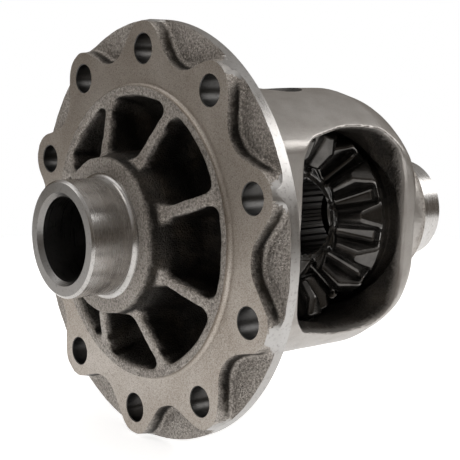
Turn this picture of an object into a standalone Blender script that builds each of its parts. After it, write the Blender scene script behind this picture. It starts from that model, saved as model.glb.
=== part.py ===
"""Open differential: flanged case, cross pin and lock bolt, two side gears, two pinions, thrust washers.

World frame: the origin is where the cross pin crosses the carrier axis.
+X runs along the carrier axis from the flange towards the bell end, +Z runs up the cross pin,
and the two windows open towards -Y and +Y. All lengths below are millimetres.
"""
import math

import bmesh
import bpy
from mathutils import Matrix, Vector

MM = 0.001
TAU = 2.0 * math.pi

# Carrier axis stations, from the flange end to the bell end.
FRONT_END_X = -105.6
FRONT_SHOULDER_X = -86.7
RIB_START_X = -80.3
FACE_RING_X = -71.8
PAD_X = -69.8
DISC_FRONT_X = -64.1
SEAT_X = -58.9
TAPER_START_X = 28.0
BELL_FACE_X = 45.0
REAR_SHOULDER_X = 65.7
REAR_END_X = 84.9

# Turned diameters and cast radii of the case.
JOURNAL_R = 22.62
JOURNAL_CHAMFER = 1.0
JOURNAL_FILLET = 1.9
SHOULDER_R = 30.2
AXLE_BORE_R = 16.3
BORE_MOUTH_R = 17.9
BORE_MOUTH_DEPTH = 1.9
FLANGE_R = 83.6
RIM_CHAMFER = 0.7
FACE_RING_R = 57.8
BARREL_R = 57.0
FLAT_Y = 43.4
FLAT_START_X = -33.0

# The turned case is divided so that no division line runs through a hole or window centre.
CASE_SEGMENTS = 40
CASE_PHASE = math.radians(2.2)

# Bolt circle, petal pads and scallops.
BOLT_COUNT = 10
BOLT_CIRCLE_R = 72.3
BOLT_HOLE_R = 5.8
LOBE_R = 10.8
SCALLOP_R = 14.0
SCALLOP_FLOOR_R = 69.0

# Ribs and the pockets between them.
RIB_COUNT = 8
RIB_HALF_WIDTH = 2.4
POCKET_OUTER_R = 54.3
POCKET_CORNER_R = 5.0
POCKET_FLOOR_X = -57.3

# Inside of the case.
CAVITY_R = 47.5
GEAR_BAY_R = 40.2
THRUST_FACE_X = 33.3
THRUST_BOSS_R = 35.0
BELL_INNER_X = 37.0
HUB_BORE_R = 22.9
HUB_BORE_END_X = 47.5

# Windows through both sides.
# Corners of the upper half outline as X, Z and corner radius, from the flange side to the bell side.
WINDOW_CORNERS = (
    (-22.0, 39.0, 10.0),
    (8.0, 46.0, 40.0),
    (30.5, 42.5, 12.0),
    (37.4, 20.0, 40.0),
)
WINDOW_INNER_SPREAD = 0.9
WINDOW_LIP_Y = 30.0

# Cross pin and its lock bolt.
PIN_R = 9.5
PIN_HOLE_R = 9.85
PIN_HALF_LENGTH = 54.4
PIN_CHAMFER = 0.8
LOCK_Z = -49.7
LOCK_SHANK_R = 2.5
LOCK_HOLE_R = 2.85
LOCK_TIP_X = -14.0
LOCK_SEAT_X = 32.0
LOCK_HEAD_HEIGHT = 3.8
LOCK_HEAD_R = 4.6
LOCK_SPOT_R = 5.4

# Bevel gear set: both gears share one apex at the origin.
SIDE_TEETH = 12
PINION_TEETH = 8
PRESSURE_ANGLE = math.radians(25.0)
SIDE_ADDENDUM = math.radians(4.6)
PINION_ADDENDUM = math.radians(7.6)
ROOT_CLEARANCE = math.radians(0.9)
SIDE_TOOTH_SHARE = 0.45
BACKLASH = 0.0145
SIDE_REST_ROLL = math.radians(-8.0)
PINION_REST_ROLL = -SIDE_REST_ROLL * SIDE_TEETH / PINION_TEETH

# Side gear blank.
SIDE_TOE_L = 29.5
SIDE_FRONT_X = 18.8
SIDE_FRONT_R = 19.7
SIDE_OUTER_R = 38.9
SIDE_RIM_X = 29.1
SIDE_HEEL_L = 41.2
SIDE_FLOOR_L = 46.4
SIDE_PITCH_CONE = math.atan2(SIDE_TEETH, PINION_TEETH)
SIDE_ROOT_CONE = SIDE_PITCH_CONE - PINION_ADDENDUM - ROOT_CLEARANCE
SIDE_BACK_X = 32.0
SIDE_BACK_R = 35.6
SIDE_HUB_R = 22.5
SIDE_HUB_END_X = 46.5
SPLINE_COUNT = 31
SPLINE_MINOR_R = 16.3
SPLINE_MAJOR_R = 17.3

# Pinion blank.
PINION_TOE_L = 30.5
PINION_HEEL_L = 39.6
PINION_PITCH_CONE = math.atan2(PINION_TEETH, SIDE_TEETH)
PINION_BACK_L = 46.0
PINION_FRONT_Z = 25.6
PINION_BORE_R = 9.85
PINION_RIM_ANGLE = math.radians(36.0)

# Thrust washers.
SIDE_WASHER_X = (32.3, 33.0)
SIDE_WASHER_R = (22.9, 34.4)
PINION_WASHER_L = (46.3, 47.0)
PINION_WASHER_R = (9.9, 20.8)


def clear_objects():
    for item in list(bpy.data.objects):
        bpy.data.objects.remove(item, do_unlink=True)


def steel(name, colour, roughness, metallic=1.0):
    """Plain metal finish."""
    material = bpy.data.materials.new(name)
    material.use_nodes = True
    shader = material.node_tree.nodes["Principled BSDF"]
    shader.inputs["Base Color"].default_value = (*colour, 1.0)
    shader.inputs["Metallic"].default_value = metallic
    shader.inputs["Roughness"].default_value = roughness
    return material


def add_object(name, mesh_data, material=None, frame=None):
    item = bpy.data.objects.new(name, mesh_data)
    bpy.context.scene.collection.objects.link(item)
    if material is not None:
        mesh_data.materials.append(material)
    if frame is not None:
        item.matrix_world = frame
    return item


def finished_mesh(name, shape):
    """Turn a working bmesh into mesh data with its faces pointing outwards."""
    bmesh.ops.remove_doubles(shape, verts=shape.verts, dist=0.00001)
    bmesh.ops.recalc_face_normals(shape, faces=shape.faces)
    data = bpy.data.meshes.new(name)
    shape.to_mesh(data)
    shape.free()
    return data


def mesh_from_rings(name, rings):
    """Skin closed outlines of equal length, given in order round a loop, into one closed body."""
    shape = bmesh.new()
    grid = [[shape.verts.new(Vector(point) * MM) for point in ring] for ring in rings]
    for i, here in enumerate(grid):
        there = grid[(i + 1) % len(grid)]
        for j in range(len(here)):
            k = (j + 1) % len(here)
            shape.faces.new((here[j], here[k], there[k], there[j]))
    return finished_mesh(name, shape)


def lathe_mesh(name, profile, segments, axis="Z", phase=0.0):
    """Spin a closed (axial, radial) outline once round the chosen axis."""
    shape = bmesh.new()
    corners = []
    for axial, radial in profile:
        side = radial * math.cos(phase)
        rise = radial * math.sin(phase)
        point = (axial, side, rise) if axis == "X" else (side, rise, axial)
        corners.append(shape.verts.new(Vector(point) * MM))
    for i, corner in enumerate(corners):
        shape.edges.new((corner, corners[(i + 1) % len(corners)]))
    spin_axis = (1.0, 0.0, 0.0) if axis == "X" else (0.0, 0.0, 1.0)
    bmesh.ops.spin(shape, geom=shape.verts[:] + shape.edges[:], cent=(0.0, 0.0, 0.0), axis=spin_axis,
                   angle=TAU, steps=segments, use_merge=True)
    return finished_mesh(name, shape)


def prism_mesh(name, outline, sections):
    """Extrude a face through a series of sections.

    outline(level) gives the points of one section, sections lists the levels.
    """
    shape = bmesh.new()
    cap = shape.faces.new([shape.verts.new(Vector(point) * MM) for point in outline(sections[0])])
    start = cap
    for level in sections[1:]:
        grown = bmesh.ops.extrude_face_region(shape, geom=[cap])["geom"]
        if cap is not start:
            bmesh.ops.delete(shape, geom=[cap], context="FACES_ONLY")
        cap = next(item for item in grown if isinstance(item, bmesh.types.BMFace))
        for vert, point in zip(cap.verts, outline(level)):
            vert.co = Vector(point) * MM
    return finished_mesh(name, shape)


def circle_points(radius, count, phase=0.0):
    return [
        (radius * math.cos(phase + TAU * i / count), radius * math.sin(phase + TAU * i / count))
        for i in range(count)
    ]


def arc(centre, radius, start, end, steps):
    """Points along an arc from one angle to the other, ends included."""
    points = []
    for i in range(steps + 1):
        angle = start + (end - start) * i / steps
        points.append((centre[0] + radius * math.cos(angle), centre[1] + radius * math.sin(angle)))
    return points


def round_corners(corners, steps):
    """Round each (point, radius) corner of a closed outline with a tangent arc."""
    points = []
    count = len(corners)
    for i in range(count):
        here = Vector(corners[i][0])
        before = (Vector(corners[i - 1][0]) - here).normalized()
        after = (Vector(corners[(i + 1) % count][0]) - here).normalized()
        half = before.angle(after) / 2.0
        radius = corners[i][1]
        centre = here + (before + after).normalized() * (radius / math.sin(half))
        first = here + before * (radius / math.tan(half)) - centre
        second = here + after * (radius / math.tan(half)) - centre
        sweep = first.angle_signed(second)
        start = math.atan2(first.y, first.x)
        points.extend(arc(centre, radius, start, start - sweep, steps))
    return points


def cut(target, cutter, operation="DIFFERENCE"):
    """Subtract, or otherwise combine, one body with another and apply the result."""
    cutter.hide_render = True
    cutter.display_type = "WIRE"
    step = target.modifiers.new(cutter.name, "BOOLEAN")
    step.operation = operation
    step.solver = "EXACT"
    step.object = cutter
    bpy.context.view_layer.update()
    graph = bpy.context.evaluated_depsgraph_get()
    result = bpy.data.meshes.new_from_object(target.evaluated_get(graph))
    result.name = target.name
    target.modifiers.remove(step)
    target.data = result
    bpy.data.objects.remove(cutter, do_unlink=True)


def soften(item, angle=32.0):
    """Smooth shading everywhere except across real edges."""
    item.data.shade_smooth()
    item.data.set_sharp_from_angle(angle=math.radians(angle))


# Case -----------------------------------------------------------------------------------------

def case_profile():
    """Half section of the case: outside from the front journal to the rear one, inside back."""
    fillet = JOURNAL_FILLET
    outside = [
        (FRONT_END_X, BORE_MOUTH_R),
        (FRONT_END_X, JOURNAL_R - JOURNAL_CHAMFER),
        (FRONT_END_X + JOURNAL_CHAMFER, JOURNAL_R),
        (FRONT_SHOULDER_X - fillet, JOURNAL_R),
        (FRONT_SHOULDER_X - 0.3 * fillet, JOURNAL_R + 0.3 * fillet),
        (FRONT_SHOULDER_X, JOURNAL_R + fillet),
        (FRONT_SHOULDER_X, SHOULDER_R),
        (RIB_START_X, SHOULDER_R + 1.0),
        (FACE_RING_X, POCKET_OUTER_R - 1.8),
        (FACE_RING_X, FACE_RING_R),
        (PAD_X - 0.8, FACE_RING_R + 0.2),
        (PAD_X, FACE_RING_R + 1.3),
        (PAD_X, FLANGE_R - RIM_CHAMFER),
        (PAD_X + RIM_CHAMFER, FLANGE_R),
        (SEAT_X - RIM_CHAMFER, FLANGE_R),
        (SEAT_X, FLANGE_R - RIM_CHAMFER),
        (SEAT_X, BARREL_R + 3.0),
        (SEAT_X + 0.9, BARREL_R + 0.9),
        (SEAT_X + 3.0, BARREL_R),
        (TAPER_START_X, BARREL_R),
        (33.0, 55.7),
        (38.0, 53.2),
        (42.0, 49.9),
        (44.3, 46.0),
        (BELL_FACE_X, 41.5),
        (BELL_FACE_X, 36.5),
        (46.2, 33.6),
        (49.0, 31.8),
        (REAR_SHOULDER_X, SHOULDER_R),
        (REAR_SHOULDER_X, JOURNAL_R + fillet),
        (REAR_SHOULDER_X + 0.3 * fillet, JOURNAL_R + 0.3 * fillet),
        (REAR_SHOULDER_X + fillet, JOURNAL_R),
        (REAR_END_X - JOURNAL_CHAMFER, JOURNAL_R),
        (REAR_END_X, JOURNAL_R - JOURNAL_CHAMFER),
        (REAR_END_X, BORE_MOUTH_R),
    ]
    sphere_start = math.acos(GEAR_BAY_R / CAVITY_R)
    sphere = []
    for i in range(7):
        angle = sphere_start - 2.0 * sphere_start * i / 6
        sphere.append((CAVITY_R * math.sin(angle), CAVITY_R * math.cos(angle)))
    inside = [
        (REAR_END_X - BORE_MOUTH_DEPTH, AXLE_BORE_R),
        (HUB_BORE_END_X + 2.0, AXLE_BORE_R),
        (HUB_BORE_END_X, HUB_BORE_R),
        (THRUST_FACE_X, HUB_BORE_R),
        (THRUST_FACE_X, THRUST_BOSS_R),
        (BELL_INNER_X, THRUST_BOSS_R),
        (BELL_INNER_X, GEAR_BAY_R),
        *sphere,
        (-THRUST_FACE_X, GEAR_BAY_R),
        (-THRUST_FACE_X, HUB_BORE_R),
        (-HUB_BORE_END_X, HUB_BORE_R),
        (-HUB_BORE_END_X - 2.0, AXLE_BORE_R),
        (FRONT_END_X + BORE_MOUTH_DEPTH, AXLE_BORE_R),
    ]
    return outside + inside


def petal_outline():
    """Edge of the bolt pads: a lobe round every hole, a scallop half way to the next."""
    half_pitch = TAU / BOLT_COUNT / 2.0
    scallop_r = SCALLOP_FLOOR_R + SCALLOP_R
    lobe = Vector((BOLT_CIRCLE_R, 0.0))
    scallop = Vector((scallop_r * math.cos(half_pitch), scallop_r * math.sin(half_pitch)))
    gap = scallop - lobe
    lean = math.acos((LOBE_R + SCALLOP_R) / gap.length)
    line = math.atan2(gap.y, gap.x)
    tangent = line - lean
    points = []
    for index in range(BOLT_COUNT):
        turn = Matrix.Rotation(TAU * index / BOLT_COUNT, 2)
        for point in arc(lobe, LOBE_R, -tangent, tangent, 5):
            points.append(turn @ Vector(point))
        first = tangent + math.pi
        last = 2.0 * (half_pitch + math.pi) - first
        for point in arc(scallop, SCALLOP_R, first, last, 3):
            points.append(turn @ Vector(point))
    return points


def cut_scallops(case):
    """Clear the flange front outside the petal outline down to the disc face."""
    petals = petal_outline()
    size = len(petals)
    reach = FLANGE_R + 4.0
    rings = []
    for axial, outer in ((PAD_X - 1.0, False), (DISC_FRONT_X, False), (DISC_FRONT_X, True),
                         (PAD_X - 1.0, True)):
        ring = []
        for i in range(size):
            point = Vector(petals[i])
            if outer:
                point = point.normalized() * reach
            ring.append((axial, point.y, point.x))
        rings.append(ring)
    columns = [[rings[k][i] for k in range(4)] for i in range(size)]
    cut(case, add_object("scallop_cutter", mesh_from_rings("scallop_cutter", columns)))


def cut_bolt_holes(case):
    for index in range(BOLT_COUNT):
        angle = TAU * index / BOLT_COUNT
        centre = (BOLT_CIRCLE_R * math.sin(angle), BOLT_CIRCLE_R * math.cos(angle))

        def section(axial):
            ring = circle_points(BOLT_HOLE_R, 12, angle + 0.1)
            return [(axial, centre[0] + y, centre[1] + z) for y, z in ring]

        hole = prism_mesh("bolt_hole_cutter", section, (PAD_X - 2.0, SEAT_X + 2.0))
        cut(case, add_object("bolt_hole_cutter", hole))


def pocket_section(level, angle):
    """Outline of one pocket at a depth, seen along the carrier axis."""
    axial, inner, outer, rib, corner = level
    half_turn = math.pi / RIB_COUNT

    def rib_side(radius):
        return math.asin(rib / radius)

    near = half_turn - rib_side(inner)
    far = half_turn - rib_side(outer)
    corners = [
        ((inner * math.cos(near), -inner * math.sin(near)), corner * 0.6),
        ((outer * math.cos(far), -outer * math.sin(far)), corner),
        ((1.025 * outer, 0.0), outer * 0.7),
        ((outer * math.cos(far), outer * math.sin(far)), corner),
        ((inner * math.cos(near), inner * math.sin(near)), corner * 0.6),
    ]
    points = []
    for x, y in round_corners(corners, 2):
        across = Matrix.Rotation(angle, 2) @ Vector((x, y))
        points.append((axial, across.y, across.x))
    return points


def cut_pockets(case):
    """Eight tapering pockets, one centred on the cross pin direction, with rounded corners."""
    levels = (
        (-82.0, 31.4, POCKET_OUTER_R + 0.3, RIB_HALF_WIDTH, POCKET_CORNER_R),
        (FACE_RING_X, 32.0, POCKET_OUTER_R, RIB_HALF_WIDTH + 0.2, POCKET_CORNER_R),
        (-60.0, 33.8, POCKET_OUTER_R - 4.6, RIB_HALF_WIDTH + 1.4, POCKET_CORNER_R - 0.6),
        (POCKET_FLOOR_X, 36.6, POCKET_OUTER_R - 9.6, RIB_HALF_WIDTH + 3.4, POCKET_CORNER_R - 3.0),
    )
    for index in range(RIB_COUNT):
        angle = TAU * index / RIB_COUNT
        data = prism_mesh("pocket_cutter", lambda level: pocket_section(level, angle), levels)
        cut(case, add_object("pocket_cutter", data))


def window_outline(spread):
    """Window outline in X and Z: tight corners by the flange, an arched top, wide ones by the bell."""
    half = [(x, z * spread, radius) for x, z, radius in WINDOW_CORNERS]
    corners = [((x, z), radius) for x, z, radius in reversed(half)]
    corners += [((x, -z), radius) for x, z, radius in half]
    return round_corners(corners, 3)


def cut_windows(case):
    """Open both sides; inside, the cut keeps clear of the right thrust boss."""
    inner = window_outline(WINDOW_INNER_SPREAD)
    data = prism_mesh("window_cutter", lambda y: [(x, y, z) for x, z in inner], (-38.0, 38.0))
    window = add_object("window_cutter", data)
    keep = [(THRUST_FACE_X, 8.0), (THRUST_FACE_X, THRUST_BOSS_R), (60.0, THRUST_BOSS_R), (60.0, 8.0)]
    boss_data = lathe_mesh("boss_keeper", keep, CASE_SEGMENTS, axis="X", phase=CASE_PHASE)
    boss = add_object("boss_keeper", boss_data)
    cut(window, boss)
    cut(case, window)
    outer = window_outline(1.0)
    for side in (-1.0, 1.0):
        levels = (side * WINDOW_LIP_Y, side * (BARREL_R + 5.0))
        data = prism_mesh("window_cutter", lambda y: [(x, y, z) for x, z in outer], levels)
        cut(case, add_object("window_cutter", data))


def cut_flats(case):
    """Flat sides on the barrel, run out to the round with a slope behind the flange."""
    reach = BARREL_R + 3.0
    for side in (-1.0, 1.0):
        outline = [
            (FLAT_START_X, side * FLAT_Y),
            (60.0, side * FLAT_Y),
            (60.0, side * reach),
            (FLAT_START_X - (reach - FLAT_Y) * 0.8, side * reach),
        ]
        data = prism_mesh("flat_cutter", lambda z: [(x, y, z) for x, y in outline], (-45.0, 45.0))
        cut(case, add_object("flat_cutter", data))


def cut_pin_and_lock_holes(case):
    """Through hole for the cross pin with chamfered mouths, and the lock bolt's drilling."""
    for side in (-1.0, 1.0):
        mouth = BARREL_R + 3.0
        levels = (
            (30.0 * side, PIN_HOLE_R),
            ((BARREL_R - 1.6) * side, PIN_HOLE_R),
            (mouth * side, PIN_HOLE_R + 4.6),
        )

        def section(level):
            return [(x, y, level[0]) for x, y in circle_points(level[1], 40)]

        data = prism_mesh("pin_hole_cutter", section, levels)
        cut(case, add_object("pin_hole_cutter", data))
    drilling = (
        (LOCK_TIP_X - 1.2, LOCK_HOLE_R),
        (LOCK_SEAT_X, LOCK_HOLE_R),
        (LOCK_SEAT_X, LOCK_SPOT_R),
        (BELL_FACE_X + 6.0, LOCK_SPOT_R),
    )

    def drill_section(level):
        return [(level[0], y, LOCK_Z + z) for y, z in circle_points(level[1], 24)]

    cut(case, add_object("lock_cutter", prism_mesh("lock_cutter", drill_section, drilling)))


def build_case(material):
    blank = lathe_mesh("differential_case", case_profile(), CASE_SEGMENTS, axis="X", phase=CASE_PHASE)
    case = add_object("differential_case", blank, material)
    cut_scallops(case)
    cut_bolt_holes(case)
    cut_pockets(case)
    cut_flats(case)
    cut_windows(case)
    cut_pin_and_lock_holes(case)
    soften(case)
    return case


# Cross pin, lock bolt and washers ---------------------------------------------------------------

def build_cross_pin(material):
    levels = (
        (-PIN_HALF_LENGTH, PIN_R - PIN_CHAMFER),
        (-PIN_HALF_LENGTH + PIN_CHAMFER, PIN_R),
        (PIN_HALF_LENGTH - PIN_CHAMFER, PIN_R),
        (PIN_HALF_LENGTH, PIN_R - PIN_CHAMFER),
    )

    def section(level):
        return [(x, y, level[0]) for x, y in circle_points(level[1], 40)]

    pin = add_object("cross_pin", prism_mesh("cross_pin", section, levels), material)

    def drill_section(axial):
        return [(axial, y, LOCK_Z + z) for y, z in circle_points(LOCK_HOLE_R, 20)]

    cut(pin, add_object("pin_drill_cutter", prism_mesh("pin_drill_cutter", drill_section, (-14.0, 14.0))))
    soften(pin)
    return pin


def build_lock_bolt(material):
    """Hexagon headed bolt along the carrier axis direction, through the lower end of the pin."""
    head_start = LOCK_SEAT_X + 0.3
    head_end = head_start + LOCK_HEAD_HEIGHT
    flat_share = math.cos(math.radians(30.0))

    def section(level):
        axial, radius, flat = level
        points = []
        for i in range(12):
            angle = TAU * i / 12
            reach = radius * (flat if i % 2 else 1.0)
            points.append((axial, reach * math.cos(angle), reach * math.sin(angle)))
        return points

    levels = (
        (LOCK_TIP_X, LOCK_SHANK_R - 0.6, 1.0),
        (LOCK_TIP_X + 0.8, LOCK_SHANK_R, 1.0),
        (head_start, LOCK_SHANK_R, 1.0),
        (head_start, LOCK_HEAD_R, flat_share),
        (head_end - 0.6, LOCK_HEAD_R, flat_share),
        (head_end, LOCK_HEAD_R - 0.9, flat_share),
    )
    data = prism_mesh("cross_pin_lock_bolt", section, levels)
    frame = Matrix.Translation(Vector((0.0, 0.0, LOCK_Z * MM)))
    bolt = add_object("cross_pin_lock_bolt", data, material, frame)
    soften(bolt)
    return bolt


def build_side_washer(name, material, direction):
    near, far = SIDE_WASHER_X
    inner, outer = SIDE_WASHER_R
    profile = [(near, inner), (near, outer), (far, outer), (far, inner)]
    frame = side_frame(direction, 0.0)
    washer = add_object(name, lathe_mesh(name, profile, 40), material, frame)
    soften(washer)
    return washer


def build_pinion_washer(name, material, direction):
    """Dished washer on the spherical back of a pinion."""
    profile = []
    for reach, order in ((PINION_WASHER_L[1], 1), (PINION_WASHER_L[0], -1)):
        inner = math.asin(PINION_WASHER_R[0] / reach)
        outer = math.asin(PINION_WASHER_R[1] / reach)
        steps = [inner + (outer - inner) * i / 2 for i in range(3)][::order]
        profile.extend((reach * math.cos(angle), reach * math.sin(angle)) for angle in steps)
    washer = add_object(name, lathe_mesh(name, profile, 40), material, pinion_frame(direction, 0.0))
    soften(washer)
    return washer


# Bevel gears ------------------------------------------------------------------------------------

def side_frame(direction, roll):
    """Local Z along the carrier axis, local X up, rolled round its own axis."""
    frame = Matrix(((0.0, 0.0, direction), (0.0, -direction, 0.0), (1.0, 0.0, 0.0))).to_4x4()
    return frame @ Matrix.Rotation(roll, 4, "Z")


def pinion_frame(direction, roll):
    """Local Z along the cross pin, local X along the carrier axis, rolled round its own axis."""
    frame = Matrix(((1.0, 0.0, 0.0), (0.0, direction, 0.0), (0.0, 0.0, direction))).to_4x4()
    return frame @ Matrix.Rotation(roll, 4, "Z")


def involute_turn(polar, base):
    """Azimuth of a spherical involute at a polar angle, measured from its start on the base cone."""
    if polar <= base:
        return 0.0
    unrolled = math.acos(math.cos(polar) / math.cos(base)) / math.sin(base)
    return unrolled - math.acos(math.tan(base) / math.tan(polar))


def tooth_outline(teeth, mate_teeth, addendum, mate_addendum, share):
    """One tooth pitch of (azimuth, polar angle) pairs round the shared apex, tooth at azimuth 0."""
    pitch_cone = math.atan2(teeth, mate_teeth)
    tip = pitch_cone + addendum
    root = pitch_cone - mate_addendum - ROOT_CLEARANCE
    base = math.asin(math.sin(pitch_cone) * math.cos(PRESSURE_ANGLE))
    pitch_turn = TAU / teeth
    half_at_pitch = pitch_turn * share / 2.0 - BACKLASH / math.sin(pitch_cone) / 4.0
    at_base = half_at_pitch + involute_turn(pitch_cone, base)

    def half_width(polar):
        return at_base - involute_turn(polar, base)

    steps = 2
    flank = [(half_width(tip - (tip - base) * i / steps), tip - (tip - base) * i / steps)
             for i in range(steps + 1)]
    if root < base:
        flank.append((at_base + 0.10 * (base - root), root + 0.35 * (base - root)))
    else:
        flank = [pair for pair in flank if pair[1] > root + 0.01]
    floor = min(flank[-1][0] + 0.035, pitch_turn / 2.0 - 0.004)
    flank.append((floor, root))
    rising = [(-azimuth, polar) for azimuth, polar in reversed(flank)]
    return rising + flank


def gear_mesh(name, teeth, outline, profile):
    """Sweep the tooth outline round the axis; profile(polar) is the half section at that height."""
    rings = []
    for index in range(teeth):
        for azimuth, polar in outline:
            turn = TAU * index / teeth + azimuth
            ring = []
            for axial, radial in profile(polar):
                ring.append((radial * math.cos(turn), radial * math.sin(turn), axial))
            rings.append(ring)
    return mesh_from_rings(name, rings)


def at_cone(length, polar):
    return (length * math.cos(polar), length * math.sin(polar))


def reach_to_line(polar, first, second):
    """Distance from the apex, at a polar angle, to the line through two (axial, radial) points."""
    run = second[0] - first[0]
    rise = second[1] - first[1]
    return (first[1] * run - first[0] * rise) / (math.sin(polar) * run - math.cos(polar) * rise)


def side_profile(polar):
    """Half section of the side gear; teeth slope down to the heel rim, spaces rise to it in a web."""
    rim = (SIDE_RIM_X, SIDE_OUTER_R)
    rim_polar = math.atan2(SIDE_OUTER_R, SIDE_RIM_X)
    heel = at_cone(SIDE_HEEL_L, SIDE_PITCH_CONE + SIDE_ADDENDUM)
    web = at_cone(SIDE_FLOOR_L, SIDE_ROOT_CONE)
    corner = heel if polar > rim_polar else web
    return [
        (SIDE_FRONT_X, SPLINE_MINOR_R - 0.6),
        (SIDE_FRONT_X, SIDE_FRONT_R),
        at_cone(SIDE_TOE_L, polar),
        at_cone(reach_to_line(polar, corner, rim) - 0.2, polar),
        rim,
        (SIDE_BACK_X, SIDE_BACK_R),
        (SIDE_BACK_X, SPLINE_MINOR_R - 0.6),
    ]


def pinion_profile(polar):
    """Half section of the pinion; teeth slope down to the rim, and its back is a sphere about the apex."""
    rim = at_cone(PINION_BACK_L, PINION_RIM_ANGLE)
    heel = at_cone(PINION_HEEL_L, PINION_PITCH_CONE + PINION_ADDENDUM)
    edge = min(polar, PINION_RIM_ANGLE)
    length = PINION_BACK_L - 0.4
    if polar > PINION_RIM_ANGLE:
        length = reach_to_line(polar, heel, rim) - 0.2
    back = [at_cone(PINION_BACK_L, edge * share + bore_angle() * (1.0 - share))
            for share in (1.0, 0.66, 0.33, 0.0)]
    return [
        (PINION_FRONT_Z, PINION_BORE_R),
        (PINION_FRONT_Z, PINION_BORE_R + 2.6),
        at_cone(PINION_TOE_L, polar),
        at_cone(length, polar),
        *back,
    ]


def bore_angle():
    return math.asin(PINION_BORE_R / PINION_BACK_L)


def cut_splines(gear):
    """Straight internal serrations for the axle shaft."""
    points = []
    for index in range(SPLINE_COUNT):
        for share, radius in ((0.0, SPLINE_MAJOR_R), (0.5, SPLINE_MINOR_R)):
            turn = TAU * (index + share) / SPLINE_COUNT
            points.append((radius * math.cos(turn), radius * math.sin(turn)))
    levels = ((SIDE_FRONT_X - 1.0), (SIDE_HUB_END_X + 1.0))
    data = prism_mesh("spline_cutter", lambda z: [(x, y, z) for x, y in points], levels)
    cutter = add_object("spline_cutter", data, frame=gear.matrix_world.copy())
    cut(gear, cutter)


def build_side_gear(name, material, direction):
    outline = tooth_outline(SIDE_TEETH, PINION_TEETH, SIDE_ADDENDUM, PINION_ADDENDUM, SIDE_TOOTH_SHARE)
    data = gear_mesh(name, SIDE_TEETH, outline, side_profile)
    frame = side_frame(direction, SIDE_REST_ROLL)
    gear = add_object(name, data, material, frame)
    core_r = SPLINE_MINOR_R - 1.2
    hub = [
        (SIDE_BACK_X - 3.0, core_r),
        (SIDE_BACK_X - 3.0, SIDE_HUB_R),
        (SIDE_HUB_END_X - 0.8, SIDE_HUB_R),
        (SIDE_HUB_END_X, SIDE_HUB_R - 0.8),
        (SIDE_HUB_END_X, core_r),
    ]
    cut(gear, add_object("gear_hub", lathe_mesh("gear_hub", hub, 40, phase=0.03), frame=frame), "UNION")
    cut_splines(gear)
    soften(gear, 25.0)
    return gear


def build_pinion(name, material, direction):
    share = 1.0 - SIDE_TOOTH_SHARE
    outline = tooth_outline(PINION_TEETH, SIDE_TEETH, PINION_ADDENDUM, SIDE_ADDENDUM, share)
    half_tooth = math.pi / PINION_TEETH
    data = gear_mesh(name, PINION_TEETH, outline, pinion_profile)
    frame = pinion_frame(direction, PINION_REST_ROLL + half_tooth)
    gear = add_object(name, data, material, frame)
    soften(gear, 25.0)
    return gear


def build():
    clear_objects()
    build_case(steel("case_cast_iron", (0.30, 0.29, 0.28), 0.5))
    build_cross_pin(steel("pin_ground_steel", (0.50, 0.50, 0.50), 0.25))
    build_lock_bolt(steel("bolt_black_steel", (0.10, 0.10, 0.11), 0.4))
    for side, direction in (("left", -1.0), ("right", 1.0)):
        build_side_gear("side_gear_" + side, steel("side_gear_steel_" + side, (0.16, 0.16, 0.16), 0.3),
                        direction)
        build_side_washer("side_gear_washer_" + side,
                          steel("side_washer_steel_" + side, (0.42, 0.41, 0.39), 0.35), direction)
    for level, direction in (("upper", 1.0), ("lower", -1.0)):
        build_pinion("pinion_gear_" + level, steel("pinion_steel_" + level, (0.18, 0.18, 0.18), 0.3),
                     direction)
        build_pinion_washer("pinion_washer_" + level,
                            steel("pinion_washer_steel_" + level, (0.42, 0.41, 0.39), 0.35), direction)


build()
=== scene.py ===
"""Looks of the open differential: cast case with turned faces, oiled bevel gears, pin, washers, bolt."""

import math

import bmesh
import bpy
import numpy as np
import openvdb
from mathutils import Matrix, Vector


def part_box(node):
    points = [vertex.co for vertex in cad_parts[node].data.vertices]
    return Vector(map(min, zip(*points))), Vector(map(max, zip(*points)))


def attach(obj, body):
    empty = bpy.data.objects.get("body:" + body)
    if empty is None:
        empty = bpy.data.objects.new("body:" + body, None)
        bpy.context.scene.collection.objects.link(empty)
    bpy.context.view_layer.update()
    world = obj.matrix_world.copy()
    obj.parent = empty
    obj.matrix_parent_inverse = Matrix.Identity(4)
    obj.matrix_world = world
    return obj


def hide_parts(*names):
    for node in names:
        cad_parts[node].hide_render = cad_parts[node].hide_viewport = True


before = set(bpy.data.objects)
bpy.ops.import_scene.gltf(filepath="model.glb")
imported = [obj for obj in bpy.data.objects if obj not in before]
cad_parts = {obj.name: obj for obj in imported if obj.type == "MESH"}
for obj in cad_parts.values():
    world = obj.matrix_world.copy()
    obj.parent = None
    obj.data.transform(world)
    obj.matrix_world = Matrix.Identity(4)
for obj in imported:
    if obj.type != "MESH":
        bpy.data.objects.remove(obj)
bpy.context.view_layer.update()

MM = 0.001
TAU = 2.0 * math.pi

# Stations and radii of the case, millimetres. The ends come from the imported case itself.
CASE_LOW, CASE_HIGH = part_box("differential_case")
FRONT_END_X = CASE_LOW.x / MM
REAR_END_X = CASE_HIGH.x / MM
FRONT_SHOULDER_X = -86.7
RIB_START_X = -80.3
FACE_RING_X = -71.8
PAD_X = -69.8
DISC_FRONT_X = -64.1
SEAT_X = -58.9
REAR_SHOULDER_X = 65.7
JOURNAL_R = 22.62
SHOULDER_R = 30.2
AXLE_BORE_R = 16.3
BORE_MOUTH_R = 17.9
FLANGE_R = 83.6
FACE_RING_R = 57.8
BARREL_R = 57.0
FLAT_Y = 43.4
FLAT_START_X = -33.0
BOLT_COUNT = 10
BOLT_CIRCLE_R = 72.3
BOLT_HOLE_R = 5.8
LOBE_R = 10.8
SCALLOP_R = 14.0
SCALLOP_FLOOR_R = 69.0
CAVITY_R = 47.3
GEAR_BAY_R = 40.2
THRUST_FACE_X = 33.3
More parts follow.
